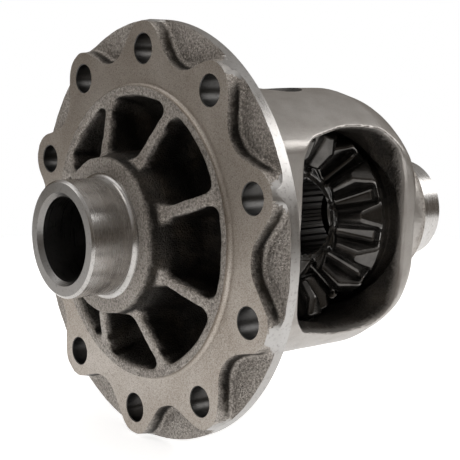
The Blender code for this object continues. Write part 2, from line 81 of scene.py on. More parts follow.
THRUST_BOSS_R = 35.0
BELL_INNER_X = 37.0
HUB_BORE_R = 22.9
HUB_BORE_END_X = 47.5
# Corners of the upper half of the window as X, Z and radius, from the flange side to the bell side.
WINDOW_CORNERS = (
    (-22.0, 38.6, 12.0),
    (8.0, 46.2, 45.0),
    (30.8, 42.6, 15.0),
    (37.6, 20.0, 45.0),
)
RIB_COUNT = 8
RIB_HALF = 2.15
POCKET_INNER_R = 31.3
POCKET_OUTER_R = 54.3
POCKET_FLOOR_X = -57.3
WINDOW_TAPER = 0.30
PIN_R = 9.5
PIN_HOLE_R = 9.85
PIN_HALF_LENGTH = 54.4
LOCK_Z = -49.7
LOCK_SEAT_X = 32.0
LOCK_HOLE_R = 2.85
LOCK_SEAT_R = 5.4
LOCK_START_X = -15.2
LOCK_HEAD_R = 4.6
LOCK_HEAD_TALL = 3.8

# Bevel gears, one apex at the origin.
SIDE_TEETH = 12
PINION_TEETH = 8
PRESSURE_ANGLE = math.radians(25.0)
SIDE_ADDENDUM = math.radians(4.6)
PINION_ADDENDUM = math.radians(7.6)
ROOT_CLEARANCE = math.radians(0.9)
SIDE_TOOTH_SHARE = 0.45
BACKLASH = 0.0145
SIDE_REST_ROLL = math.radians(-8.0)
PINION_REST_ROLL = -SIDE_REST_ROLL * SIDE_TEETH / PINION_TEETH

# Stations along each gear's own axis, from the apex, and lengths along its cones, millimetres.
SIDE_FRONT = 18.8
SIDE_THRUST = 32.0
SIDE_BACK = 46.5
SIDE_HUB_R = 22.5
SIDE_TOE_L = 29.5
SIDE_HEEL = (20.0, 35.9)
SIDE_RIM = (29.1, 38.9)
SPLINE_COUNT = 31
SPLINE_MINOR_R = 16.3
SPLINE_MAJOR_R = 17.35
PINION_FRONT = 25.6
PINION_TOE_L = 30.5
PINION_HEEL_L = 39.6
PINION_BACK_L = 46.0
PINION_RIM_ANGLE = math.radians(36.0)
GEAR_VOXEL = 0.42
CASE_VOXEL = 0.6
CASE_TRIANGLES = 170000

# Studio, millimetres for the floor and metres for the camera.
FLOOR_Z = -84.0
FLOOR_HALF = 430.0
CAMERA_PLACE = (-0.3338, -0.3779, 0.0782)
CAMERA_TARGET = (-0.0698, -0.0570, 0.0095)
CAMERA_UP = (0.0, 0.0553, 0.9985)
CAMERA_LENS = 91.85


# Meshes -----------------------------------------------------------------------------------------

def add_object(name, data, material=None):
    item = bpy.data.objects.new(name, data)
    bpy.context.scene.collection.objects.link(item)
    if material is not None:
        data.materials.append(material)
    return item


def finished_mesh(name, shape):
    bmesh.ops.remove_doubles(shape, verts=shape.verts, dist=0.000004)
    bmesh.ops.recalc_face_normals(shape, faces=shape.faces)
    data = bpy.data.meshes.new(name)
    shape.to_mesh(data)
    shape.free()
    return data


def lathe_mesh(name, profile, segments, axis="X", phase=0.0):
    """Spin a closed (axial, radial) outline once round the axis."""
    shape = bmesh.new()
    corners = []
    for axial, radial in profile:
        side = radial * math.cos(phase)
        rise = radial * math.sin(phase)
        point = (axial, side, rise) if axis == "X" else (side, rise, axial)
        corners.append(shape.verts.new(Vector(point) * MM))
    for i, corner in enumerate(corners):
        shape.edges.new((corner, corners[(i + 1) % len(corners)]))
    spin_axis = (1.0, 0.0, 0.0) if axis == "X" else (0.0, 0.0, 1.0)
    bmesh.ops.spin(shape, geom=shape.verts[:] + shape.edges[:], cent=(0.0, 0.0, 0.0), axis=spin_axis,
                   angle=TAU, steps=segments, use_merge=True)
    bmesh.ops.dissolve_degenerate(shape, edges=shape.edges, dist=0.000002)
    return finished_mesh(name, shape)


def skin_rings(shape, rings):
    """Join equal rings of vertices with quads and close both ends."""
    for here, there in zip(rings, rings[1:]):
        for j in range(len(here)):
            k = (j + 1) % len(here)
            shape.faces.new((here[j], here[k], there[k], there[j]))
    shape.faces.new(rings[0])
    shape.faces.new(rings[-1])


def prism_mesh(name, outline, sections):
    """Skin equal outlines at a series of levels, with both ends closed."""
    shape = bmesh.new()
    skin_rings(shape, [[shape.verts.new(Vector(point) * MM) for point in outline(level)]
                       for level in sections])
    return finished_mesh(name, shape)


def circle_points(radius, count, phase=0.0):
    return [
        (radius * math.cos(phase + TAU * i / count), radius * math.sin(phase + TAU * i / count))
        for i in range(count)
    ]


def arc(centre, radius, start, end, steps):
    points = []
    for i in range(steps + 1):
        angle = start + (end - start) * i / steps
        points.append((centre[0] + radius * math.cos(angle), centre[1] + radius * math.sin(angle)))
    return points


def round_corners(corners, steps):
    """Round each (point, radius) corner of a closed outline with a tangent arc."""
    points = []
    count = len(corners)
    for i in range(count):
        here = Vector(corners[i][0])
        radius = corners[i][1]
        if radius <= 0.0:
            points.append(tuple(here))
            continue
        before = (Vector(corners[i - 1][0]) - here).normalized()
        after = (Vector(corners[(i + 1) % count][0]) - here).normalized()
        half = before.angle(after) / 2.0
        centre = here + (before + after).normalized() * (radius / math.sin(half))
        first = here + before * (radius / math.tan(half)) - centre
        second = here + after * (radius / math.tan(half)) - centre
        sweep = first.angle_signed(second)
        start = math.atan2(first.y, first.x)
        points.extend(arc(centre, radius, start, start - sweep, steps))
    return points


def boolean(target, cutter, operation="DIFFERENCE"):
    step = target.modifiers.new(cutter.name, "BOOLEAN")
    step.operation = operation
    step.solver = "MANIFOLD"
    step.material_mode = "TRANSFER"
    step.object = cutter
    apply_modifiers(target)
    bpy.data.objects.remove(cutter, do_unlink=True)


def apply_modifiers(target):
    bpy.context.view_layer.update()
    graph = bpy.context.evaluated_depsgraph_get()
    result = bpy.data.meshes.new_from_object(target.evaluated_get(graph))
    result.name = target.name
    target.modifiers.clear()
    target.data = result


def finish_shading(item, angle=28.0):
    """Smooth shading, crisp at real edges, with normals led by the large faces."""
    item.data.shade_smooth()
    item.data.set_sharp_from_angle(angle=math.radians(angle))
    step = item.modifiers.new("weighted", "WEIGHTED_NORMAL")
    step.keep_sharp = True
    step.weight = 60
    apply_modifiers(item)


# Distance fields: negative inside the metal, millimetres --------------------------------------------

def polygon_field(u, v, outline):
    """Signed distance from points to a closed outline, negative inside."""
    points = np.asarray(outline, np.float32)
    best = np.full(np.broadcast(u, v).shape, 1e9, np.float32)
    inside = np.zeros(best.shape, bool)
    for (au, av), (bu, bv) in zip(points, np.roll(points, -1, axis=0)):
        eu, ev = bu - au, bv - av
        length = eu * eu + ev * ev
        if length < 1e-9:
            continue
        wu, wv = u - au, v - av
        share = np.clip((wu * eu + wv * ev) / length, 0.0, 1.0)
        best = np.minimum(best, (wu - share * eu) ** 2 + (wv - share * ev) ** 2)
        crosses = (av > v) != (bv > v)
        if abs(ev) > 1e-9:
            inside ^= crosses & (u < eu * (v - av) / ev + au)
    return np.where(inside, -1.0, 1.0).astype(np.float32) * np.sqrt(best)


def both(a, b, radius):
    """Intersection of two fields with the edge rounded."""
    if radius <= 0.0:
        return np.maximum(a, b)
    inner = np.minimum(np.maximum(a, b), -radius)
    return inner + np.hypot(np.maximum(a + radius, 0.0), np.maximum(b + radius, 0.0))


def either(a, b, radius):
    """Union of two fields with the corner filleted."""
    return -both(-a, -b, radius)


def outward(points, quads):
    """The same quads, turned so that they face out of the metal."""
    a, b, c, d = (points[quads[:, i]] for i in range(4))
    volume = np.einsum("ij,ij->i", a, np.cross(b, c) + np.cross(c, d)).sum()
    return quads if volume > 0.0 else quads[:, ::-1]


def field_mesh(name, field, low, voxel):
    """Closed surface where the field is zero."""
    grid = openvdb.FloatGrid(3.0)
    grid.copyFromArray(np.ascontiguousarray(np.clip(field, -3.0, 3.0), np.float32))
    points, quads = grid.convertToQuads(0.0)
    points = (points.astype(np.float64) * voxel + np.asarray(low)) * MM
    data = bpy.data.meshes.new(name)
    data.from_pydata([], [], [])
    data.vertices.add(len(points))
    data.vertices.foreach_set("co", points.astype(np.float32).ravel())
    data.loops.add(quads.size)
    data.loops.foreach_set("vertex_index", outward(points, quads).astype(np.int32).ravel())
    data.polygons.add(len(quads))
    data.polygons.foreach_set("loop_start", np.arange(0, quads.size, 4, dtype=np.int32))
    data.update(calc_edges=True)
    data.validate()
    return data


def waves(points, seed, count, longest, shortest):
    """Smooth random height from a sum of plane waves, about -1 to 1."""
    random = np.random.RandomState(seed)
    total = np.zeros(len(points))
    for i in range(count):
        length = longest * (shortest / longest) ** (i / max(count - 1, 1))
        direction = random.normal(size=3)
        direction /= np.linalg.norm(direction)
        total += np.sin(points @ direction * (TAU / length) + random.uniform(0.0, TAU))
    return total / math.sqrt(count)


def vertex_array(data):
    values = np.empty(len(data.vertices) * 3, np.float32)
    data.vertices.foreach_get("co", values)
    return values.reshape(-1, 3).astype(np.float64)


def normal_array(data):
    values = np.empty(len(data.vertices) * 3, np.float32)
    data.vertices.foreach_get("normal", values)
    return values.reshape(-1, 3).astype(np.float64)


def decimate(item, faces):
    """Thin the mesh to about that many triangles."""
    count = sum(len(face.vertices) - 2 for face in item.data.polygons)
    if count <= faces:
        return
    step = item.modifiers.new("thin", "DECIMATE")
    step.ratio = faces / count
    apply_modifiers(item)


# Materials ----------------------------------------------------------------------------------------

class Finish:
    """A node material under construction."""

    def __init__(self, name):
        self.material = bpy.data.materials.new(name)
        self.material.use_nodes = True
        self.tree = self.material.node_tree
        self.shader = self.tree.nodes["Principled BSDF"]
        self.coords = self.node("ShaderNodeTexCoord").outputs["Object"]

    def node(self, kind, inputs=None, **settings):
        made = self.tree.nodes.new(kind)
        for key, value in settings.items():
            setattr(made, key, value)
        for key, value in (inputs or {}).items():
            self.feed(made.inputs[key], value)
        return made

    def feed(self, socket, value):
        if isinstance(value, bpy.types.NodeSocket):
            self.tree.links.new(value, socket)
        else:
            socket.default_value = value

    def stretched(self, x, y, z):
        return self.node("ShaderNodeMapping", {"Vector": self.coords, "Scale": (x, y, z)}).outputs["Vector"]

    def noise(self, scale, detail=3.0, roughness=0.55, vector=None):
        made = self.node("ShaderNodeTexNoise", {"Vector": vector or self.coords, "Scale": scale,
                                                "Detail": detail, "Roughness": roughness})
        return made.outputs["Fac"]

    def span(self, value, low, high, start=0.0, end=1.0):
        """Remap a value from low..high to start..end, clamped."""
        made = self.node("ShaderNodeMapRange", {"Value": value, "From Min": low, "From Max": high,
                                                "To Min": start, "To Max": end})
        return made.outputs["Result"]

    def math(self, operation, a, b=0.0):
        made = self.node("ShaderNodeMath", operation=operation)
        self.feed(made.inputs[0], a)
        self.feed(made.inputs[1], b)
        return made.outputs[0]

    def blend(self, share, a, b, mode="MIX"):
        made = self.node("ShaderNodeMix", data_type="RGBA", blend_type=mode)
        self.feed(made.inputs["Factor"], share)
        self.feed(made.inputs[6], a)
        self.feed(made.inputs[7], b)
        return made.outputs[2]

    def attribute(self, name):
        return self.node("ShaderNodeAttribute", attribute_name=name).outputs["Fac"]

    def bump(self, height, distance, strength=1.0, before=None):
        inputs = {"Height": height, "Distance": distance, "Strength": strength}
        if before is not None:
            inputs["Normal"] = before
        return self.node("ShaderNodeBump", inputs).outputs["Normal"]

    def use(self, **values):
        for key, value in values.items():
            self.feed(self.shader.inputs[key.replace("_", " ")], value)
        return self.material


def grey(value, warmth=0.0):
    return (value * (1.0 + warmth), value, value * (1.0 - warmth), 1.0)


def cast_iron():
    """Sand cast skin: coarse grain, near black painted shade in the hollows, bare metal on the high edges.
    """
    f = Finish("cast_iron")
    grain = f.noise(2100.0, 2.0, 0.55)
    coarse = f.noise(1050.0, 2.0, 0.5)
    blotch = f.noise(85.0, 4.0, 0.6)
    painted_shade = f.attribute("painted_shade")
    edge = f.attribute("edge")
    skin = f.attribute("skin")
    tone = f.blend(f.span(blotch, 0.35, 0.68), grey(0.20, 0.12), grey(0.32, 0.08))
    speck = f.span(grain, 0.42, 0.62)
    tone = f.blend(f.math("MULTIPLY", speck, 0.75), tone, grey(0.62, 0.08))
    dark_speck = f.span(coarse, 0.50, 0.64)
    tone = f.blend(f.math("MULTIPLY", dark_speck, 0.6), tone, grey(0.06, 0.14))
    smooth_tone = f.blend(f.span(blotch, 0.3, 0.7), grey(0.32, 0.07), grey(0.42, 0.05))
    tone = f.blend(skin, tone, smooth_tone)
    # painted shade: near black colour laid over hollows, sheltered side walls and the inside of the barrel
    painted_shade_tone = f.blend(f.span(blotch, 0.45, 0.75), grey(0.010, 0.15), grey(0.040, 0.25))
    tone = f.blend(painted_shade, tone, painted_shade_tone)
    tone = f.blend(f.math("MULTIPLY", edge, 0.55), tone, grey(0.50, 0.05))
    rough = f.span(grain, 0.3, 0.7, 0.40, 0.58)
    rough = f.math("SUBTRACT", rough, f.math("MULTIPLY", skin, 0.10))
    relief = f.math("ADD", f.math("MULTIPLY", grain, 0.6), f.math("MULTIPLY", coarse, 0.8))
    relief = f.math("MULTIPLY", relief, f.math("SUBTRACT", 1.0, f.math("MULTIPLY", skin, 0.85)))
    return f.use(Base_Color=tone, Metallic=0.85, Roughness=rough, Normal=f.bump(relief, 0.00055))


def turned_steel(name, tone, rough, streak=0.12):
    """Lathe turned: fine rings round the carrier axis, a light haze and a few pits."""
    f = Finish(name)
    rings = f.noise(1.0, 2.0, 0.6, f.stretched(2600.0, 45.0, 45.0))
    haze = f.noise(60.0, 3.0, 0.6)
    pits = f.noise(900.0, 2.0, 0.5)
    colour = f.blend(f.span(haze, 0.3, 0.7), grey(tone * 0.78, 0.05), grey(tone, 0.02))
    colour = f.blend(f.math("MULTIPLY", f.span(pits, 0.56, 0.70), 0.4), colour, grey(tone * 0.35, 0.05))
    low, high = rough
    roughness = f.span(f.math("ADD", rings, haze), 0.7, 1.3, low, high)
    normal = f.bump(rings, 0.00003, streak * 4.0)
    normal = f.bump(pits, 0.00004, 0.35, normal)
    return f.use(Base_Color=colour, Metallic=1.0, Roughness=roughness, Normal=normal)


def faced_pad():
    """Faced bolt pads: grey brown, fine speckle from graphite and open grain."""
    f = Finish("faced_pad")
    speck = f.noise(2300.0, 2.0, 0.6)
    haze = f.noise(28.0, 3.0, 0.55)
    rings = f.noise(1.0, 2.0, 0.5, f.stretched(40.0, 900.0, 160.0))
    colour = f.blend(f.span(haze, 0.35, 0.65), grey(0.33, 0.14), grey(0.43, 0.10))
    colour = f.blend(f.math("MULTIPLY", f.span(speck, 0.52, 0.66), 0.45), colour, grey(0.08, 0.14))
    colour = f.blend(f.math("MULTIPLY", f.span(speck, 0.46, 0.30), 0.4), colour, grey(0.55, 0.04))
    roughness = f.span(f.math("ADD", speck, rings), 0.7, 1.3, 0.30, 0.50)
    normal = f.bump(speck, 0.00018, 0.8)
    normal = f.bump(rings, 0.00003, 0.4, normal)
    return f.use(Base_Color=colour, Metallic=0.95, Roughness=roughness, Normal=normal)


def oiled_gear():
    """Forged gear steel with a dark phosphate skin under oil."""
    f = Finish("oiled_gear")
    mottle = f.noise(120.0, 4.0, 0.6)
    grain = f.noise(900.0, 2.0, 0.5)
    edge = f.attribute("edge")
    colour = f.blend(f.span(mottle, 0.35, 0.7), grey(0.045, 0.06), grey(0.11, 0.06))
    colour = f.blend(f.math("MULTIPLY", edge, 0.35), colour, grey(0.40, 0.03))
    roughness = f.span(mottle, 0.3, 0.7, 0.14, 0.28)
    return f.use(Base_Color=colour, Metallic=0.9, Roughness=roughness, Normal=f.bump(grain, 0.00005, 0.5),
                 Coat_Weight=0.25, Coat_Roughness=0.12)


def ground_steel(name, tone, rough):
    f = Finish(name)
    marks = f.noise(1.0, 2.0, 0.5, f.stretched(300.0, 300.0, 2200.0))
    haze = f.noise(90.0, 3.0, 0.6)
    colour = f.blend(f.span(haze, 0.3, 0.7), grey(tone * 0.8, 0.03), grey(tone, 0.01))
    roughness = f.span(f.math("ADD", marks, haze), 0.7, 1.3, rough[0], rough[1])
    return f.use(Base_Color=colour, Metallic=1.0, Roughness=roughness, Normal=f.bump(marks, 0.00003, 0.5))


# Case -------------------------------------------------------------------------------------------

STOCK = 0.9


def casting_profile():
    """Half section of the rough casting, with stock left on every face that is machined later."""
    front = FRONT_END_X - STOCK
    rear = REAR_END_X + STOCK
    journal = JOURNAL_R + STOCK
    corners = [
        ((front, AXLE_BORE_R - STOCK), 0.0),
        ((front, journal), 0.0),
        ((FRONT_SHOULDER_X - STOCK, journal), 0.0),
        ((FRONT_SHOULDER_X - STOCK, SHOULDER_R), 0.8),
        ((RIB_START_X + 0.3, SHOULDER_R + 0.9), 3.5),
        ((FACE_RING_X, 52.9), 3.0),
        ((FACE_RING_X, FACE_RING_R + 1.2), 0.0),
        ((PAD_X - STOCK, FACE_RING_R + 2.2), 0.0),
        ((PAD_X - STOCK, FLANGE_R + STOCK), 0.0),
        ((SEAT_X + STOCK, FLANGE_R + STOCK), 0.0),
        ((SEAT_X + STOCK, BARREL_R + 5.0), 0.0),
        ((SEAT_X, BARREL_R + 4.6), 0.0),
        ((SEAT_X, BARREL_R), 3.0),
        ((26.0, BARREL_R), 10.0),
        ((38.6, 53.6), 16.0),
        ((44.6, 46.6), 6.0),
        ((45.0, 35.0), 2.5),
        ((49.0, 31.8), 3.0),
        ((REAR_SHOULDER_X + STOCK, SHOULDER_R), 0.8),
        ((REAR_SHOULDER_X + STOCK, journal), 0.0),
        ((rear, journal), 0.0),
        ((rear, AXLE_BORE_R - STOCK), 0.0),
    ]
    outside = round_corners(corners, 8)
    sphere_start = math.acos(GEAR_BAY_R / CAVITY_R)
    sphere = []
    for i in range(17):
        angle = sphere_start - 2.0 * sphere_start * i / 16
        sphere.append((CAVITY_R * math.sin(angle), CAVITY_R * math.cos(angle)))
    inside = [
        (HUB_BORE_END_X + 2.0, AXLE_BORE_R - STOCK),
        (HUB_BORE_END_X, HUB_BORE_R),
        (THRUST_FACE_X, HUB_BORE_R),
        (THRUST_FACE_X, THRUST_BOSS_R),
        (BELL_INNER_X, THRUST_BOSS_R),
        (BELL_INNER_X, GEAR_BAY_R),
        *sphere,
        (-THRUST_FACE_X, GEAR_BAY_R),
        (-THRUST_FACE_X, HUB_BORE_R),
        (-HUB_BORE_END_X, HUB_BORE_R),
        (-HUB_BORE_END_X - 2.0, AXLE_BORE_R - STOCK),
    ]
    return outside + inside


def petal_outline():
    """Edge of the bolt pads: a lobe round every hole, a scallop half way to the next."""
    half_pitch = TAU / BOLT_COUNT / 2.0
    scallop_r = SCALLOP_FLOOR_R + SCALLOP_R
    lobe = Vector((BOLT_CIRCLE_R, 0.0))
    scallop = Vector((scallop_r * math.cos(half_pitch), scallop_r * math.sin(half_pitch)))
    gap = scallop - lobe
    lean = math.acos((LOBE_R + SCALLOP_R) / gap.length)
    tangent = math.atan2(gap.y, gap.x) - lean
    points = []
    for index in range(BOLT_COUNT):
        turn = Matrix.Rotation(TAU * index / BOLT_COUNT, 2)
        for point in arc(lobe, LOBE_R, -tangent, tangent, 16):
            points.append(turn @ Vector(point))
        first = tangent + math.pi
        last = 2.0 * (half_pitch + math.pi) - first
        for point in arc(scallop, SCALLOP_R, first, last, 12):
            points.append(turn @ Vector(point))
    return [(point.x, point.y) for point in points]


def window_outline():
    """Window in X and Z: tight corners by the flange, an arched top, wide ones by the bell."""
    corners = [((x, z), radius) for x, z, radius in reversed(WINDOW_CORNERS)]
    corners += [((x, -z), radius) for x, z, radius in WINDOW_CORNERS]
    return round_corners(corners, 12)


def rib_gap(y, z):
    """Distance from the middle plane of the nearest rib."""
    pitch = TAU / RIB_COUNT
    return np.hypot(y, z) * np.abs(np.sin(np.mod(np.arctan2(y, z), pitch) - pitch / 2.0))


class Grid:
    """Field values on a regular grid."""

    def at(self, points):
        """Field at points in millimetres, trilinear."""
        place = (points - self.low) / self.voxel
        base = np.clip(np.floor(place).astype(int), 0, self.shape - 2)
        part = np.clip(place - base, 0.0, 1.0)
        total = np.zeros(len(points))
        for corner in range(8):
            shift = np.array([(corner >> 2) & 1, (corner >> 1) & 1, corner & 1])
            weight = np.prod(np.where(shift == 1, part, 1.0 - part), axis=1)
            cell = base + shift
            total += weight * self.values[cell[:, 0], cell[:, 1], cell[:, 2]]
        return total


class CaseField(Grid):
    """Distance field of the casting on a regular grid, built one slab of planes at a time."""

    RADIAL_STEP = 0.3
    SLAB = 12

    def __init__(self, voxel):
        self.voxel = voxel
        self.low = np.array([FRONT_END_X - 3.0, -FLANGE_R - 3.5, -FLANGE_R - 3.5])
        high = np.array([REAR_END_X + 3.0, FLANGE_R + 3.5, FLANGE_R + 3.5])
        self.shape = np.ceil((high - self.low) / voxel).astype(int) + 1
        axes = [(self.low[i] + voxel * np.arange(self.shape[i])).astype(np.float32) for i in range(3)]
        self.x, self.y, self.z = axes
        y2, z2 = np.meshgrid(self.y, self.z, indexing="ij")
        self.r2 = np.hypot(y2, z2)
        self.rib_gap = rib_gap(y2, z2)
        self.petal = polygon_field(z2, y2, petal_outline())
        self.radii = np.arange(0.0, FLANGE_R * 1.5, self.RADIAL_STEP, dtype=np.float32)
        xs, rs = np.meshgrid(self.x, self.radii, indexing="ij")
        self.blank = polygon_field(xs, rs, casting_profile())
        xw, zw = np.meshgrid(self.x, self.z, indexing="ij")
        self.window = polygon_field(xw, zw, window_outline())
        self.values = np.empty(self.shape, np.float32)
        for start in range(0, self.shape[0], self.SLAB):
            self.fill(start, min(start + self.SLAB, self.shape[0]))

    def blank_at(self, x, radius):
        """Field of the turned blank, before pockets and windows, at points (x, radius)."""
        row = np.clip(np.rint((x - self.low[0]) / self.voxel).astype(int), 0, self.shape[0] - 1)
        column = np.clip(np.rint(radius / self.RADIAL_STEP).astype(int), 0, len(self.radii) - 1)
        return self.blank[row, column]

    def fill(self, start, stop):
        x = self.x[start:stop, None, None]
        r = self.r2[None]
        y = np.abs(self.y)[None, :, None]
        z = self.z[None, None, :]
        d = np.empty((stop - start, *self.r2.shape), np.float32)
        for i in range(start, stop):
            d[i - start] = np.interp(self.r2, self.radii, self.blank[i])
        if self.x[start] < SEAT_X + 4.0:
            d = self.flange(d, x, r)
        if self.x[stop - 1] > -50.0:
            d = self.body(d, x, y, z, start, stop)
        self.values[start:stop] = d

    def flange(self, d, x, r):
        """Scallops between the bolt pads, and the pockets between the ribs."""
        pad = self.petal[None] - (x - PAD_X) * 0.16
        clear = both(-pad, x - DISC_FRONT_X - np.clip(r - 77.0, 0.0, 6.0) * 0.05, 1.8)
        clear = np.maximum(clear, 62.0 - r)
        d = both(d, -clear, 0.45)
        hub = POCKET_INNER_R + (x + 82.0) * 0.085
        outer = POCKET_OUTER_R - (x - FACE_RING_X) * 0.26
        rib = RIB_HALF + (x + 80.0) * 0.035
        pocket = both(hub - r, rib - self.rib_gap[None], 3.2)
        pocket = both(pocket, r - outer, 5.0)
        pocket = both(pocket, x - POCKET_FLOOR_X, 6.5)
        return both(d, -pocket, 1.1)

    def body(self, d, x, y, z, start, stop):
        """Flats on both sides and the two windows."""
        slope = (y - FLAT_Y - (FLAT_START_X - x) / 0.8) * 0.62
        flat = np.where(x < FLAT_START_X, slope, y - FLAT_Y)
        keep = np.maximum(THRUST_FACE_X - x, np.hypot(y, z) - THRUST_BOSS_R)
        d = both(d, flat, 2.0)
        taper = np.clip((FLAT_Y - y) * WINDOW_TAPER, 0.0, 4.4)
        hole = np.broadcast_to(self.window[start:stop, None, :] + taper, d.shape)
        hole = np.maximum(hole, 3.0 - y)
        hole = np.maximum(hole, -keep)
        return both(d, -hole, 1.1)


def ease(value, low, high):
    share = np.clip((value - low) / (high - low), 0.0, 1.0)
    return share * share * (3.0 - 2.0 * share)


def roughen_casting(item):
    """Uneven sand cast skin, stronger in the pockets and scallops, faint on the barrel."""
    data = item.data
    points = vertex_array(data) / MM
    normals = normal_array(data)
    height = 0.10 * waves(points, 3, 14, 22.0, 7.0) + 0.05 * waves(points, 5, 24, 6.0, 3.0)
    strength = 0.25 + 0.75 * (1.0 - ease(points[:, 0], -62.0, -50.0))
    points = points + normals * (height * strength)[:, None]
    data.vertices.foreach_set("co", (points * MM).astype(np.float32).ravel())
    data.update()


def flange_cutter(material):
    """Everything the lathe takes off the flange: pad face with its fillet, rim and ring gear seat."""
    profile = [
        (-77.0, FACE_RING_R),
        (PAD_X - 1.5, FACE_RING_R),
        *arc((PAD_X - 1.5, FACE_RING_R + 1.5), 1.5, -math.pi / 2.0, 0.0, 6)[1:],
        (PAD_X, FLANGE_R - 0.7),
        (PAD_X + 0.7, FLANGE_R),
        (SEAT_X - 0.7, FLANGE_R),
        (SEAT_X, FLANGE_R - 0.7),
        (SEAT_X, BARREL_R + 3.9),
        (SEAT_X + 3.0, BARREL_R + 3.9),
        (SEAT_X + 3.0, 92.0),
        (-77.0, 92.0),
    ]
    return add_object("flange_cutter", lathe_mesh("flange_cutter", profile, 192), material)


def journal_cutter(name, material, end, shoulder, side):
    """Cut of one journal: end face, chamfer, bearing surface, fillet and shoulder."""
    fillet = 1.9
    profile = [
        (end + 4.0 * side, 12.0),
        (end, 12.0),
        (end, JOURNAL_R - 1.0),
        (end - 0.25 * side, JOURNAL_R - 0.62),
        (end - 1.0 * side, JOURNAL_R),
        (shoulder + fillet * side, JOURNAL_R),
    ]
    for i in range(1, 7):
        angle = math.pi / 2.0 * i / 6
        profile.append((shoulder + side * (fillet - fillet * math.sin(angle)),
                        JOURNAL_R + fillet - fillet * math.cos(angle)))
    profile += [(shoulder, SHOULDER_R + 6.0), (end + 4.0 * side, SHOULDER_R + 6.0)]
    return add_object(name, lathe_mesh(name, profile, 160), material)


def bore_cutter(name, material, end, side):
    """Through bore of one journal with its chamfered mouth."""
    profile = [
        (end + 3.0 * side, 0.0),
        (end + 3.0 * side, BORE_MOUTH_R + 2.0),
        (end + 0.001 * side, BORE_MOUTH_R),
        (end - 1.9 * side, AXLE_BORE_R),
        (side * (HUB_BORE_END_X + 1.2), AXLE_BORE_R),
        (side * (HUB_BORE_END_X - 6.0), AXLE_BORE_R),
        (side * (HUB_BORE_END_X - 6.0), 0.0),
    ]
    return add_object(name, lathe_mesh(name, profile, 96), material)


def hole_cutter(name, material, hole_at, sections, count):
    """Several straight drillings joined in one tool."""
    shape = bmesh.new()
    for index in range(count):
        ring_of = hole_at(index)
        skin_rings(shape, [[shape.verts.new(Vector(point) * MM) for point in ring_of(level)]
                           for level in sections])
    return add_object(name, finished_mesh(name, shape), material)


def bolt_hole(index):
    angle = TAU * index / BOLT_COUNT
    centre = (BOLT_CIRCLE_R * math.sin(angle), BOLT_CIRCLE_R * math.cos(angle))

    def ring(level):
        axial, radius = level
        return [(axial, centre[0] + y, centre[1] + z) for y, z in circle_points(radius, 40)]

    return ring


def build_case():
    field = CaseField(CASE_VOXEL)
    data = field_mesh("case_casting", field.values, field.low, field.voxel)
    case = add_object("case_casting", data, MATERIALS["cast"])
    roughen_casting(case)
    decimate(case, CASE_TRIANGLES)
    boolean(case, flange_cutter(MATERIALS["pad"]))
    boolean(case, journal_cutter("front_cutter", MATERIALS["journal"], FRONT_END_X, FRONT_SHOULDER_X, -1.0))
    boolean(case, journal_cutter("rear_cutter", MATERIALS["journal"], REAR_END_X, REAR_SHOULDER_X, 1.0))
    boolean(case, bore_cutter("front_bore", MATERIALS["bore"], FRONT_END_X, -1.0))
    boolean(case, bore_cutter("rear_bore", MATERIALS["bore"], REAR_END_X, 1.0))
    levels = (
        (PAD_X - 3.0, BOLT_HOLE_R + 3.3),
        (PAD_X + 0.3, BOLT_HOLE_R),
        (SEAT_X - 0.3, BOLT_HOLE_R),
        (SEAT_X + 3.0, BOLT_HOLE_R + 3.3),
    )
    boolean(case, hole_cutter("bolt_holes", MATERIALS["hole"], bolt_hole, levels, BOLT_COUNT))

    def pin_hole(index):
        side = 1.0 if index else -1.0

        def ring(level):
            return [(x, y, level[0] * side) for x, y in circle_points(level[1], 64)]

        return ring

    pin_levels = ((30.0, PIN_HOLE_R), (BARREL_R - 1.6, PIN_HOLE_R), (BARREL_R + 3.0, PIN_HOLE_R + 4.6))
    boolean(case, hole_cutter("pin_holes", MATERIALS["hole"], pin_hole, pin_levels, 2))

    def lock_hole(_index):
        def ring(level):
            return [(level[0], y, LOCK_Z + z) for y, z in circle_points(level[1], 32)]

        return ring

    lock_levels = ((LOCK_START_X, LOCK_HOLE_R), (LOCK_SEAT_X, LOCK_HOLE_R), (LOCK_SEAT_X, LOCK_SEAT_R),
                   (52.0, LOCK_SEAT_R))
    boolean(case, hole_cutter("lock_hole", MATERIALS["bore"], lock_hole, lock_levels, 1))
    face_materials(case)
    paint_case(case, field)
    finish_shading(case)
    return case


def face_materials(case):
    """The journal ends are faced dull, the rim is turned and the shoulders keep their cast skin."""
    data = case.data
    count = len(data.polygons)
    centres = np.empty(count * 3, np.float32)
    data.polygons.foreach_get("center", centres)
    centres = centres.reshape(-1, 3) / MM
    normals = np.empty(count * 3, np.float32)
    data.polygons.foreach_get("normal", normals)
    across = np.abs(normals.reshape(-1, 3)[:, 0]) > 0.9
    radius = np.hypot(centres[:, 1], centres[:, 2])
    index = np.empty(count, np.int32)
    data.polygons.foreach_get("material_index", index)
    end_slot = len(data.materials)
    data.materials.append(MATERIALS["end"])
    data.materials.append(MATERIALS["rim"])
    index[~across & (radius > FLANGE_R - 0.8)] = end_slot + 1
    for end in (FRONT_END_X, REAR_END_X):
        index[across & (np.abs(centres[:, 0] - end) < 0.1)] = end_slot
    for shoulder in (FRONT_SHOULDER_X, REAR_SHOULDER_X):
        index[across & (np.abs(centres[:, 0] - shoulder) < 0.2) & (radius > JOURNAL_R + 2.4)] = 0
    data.polygons.foreach_set("material_index", index)


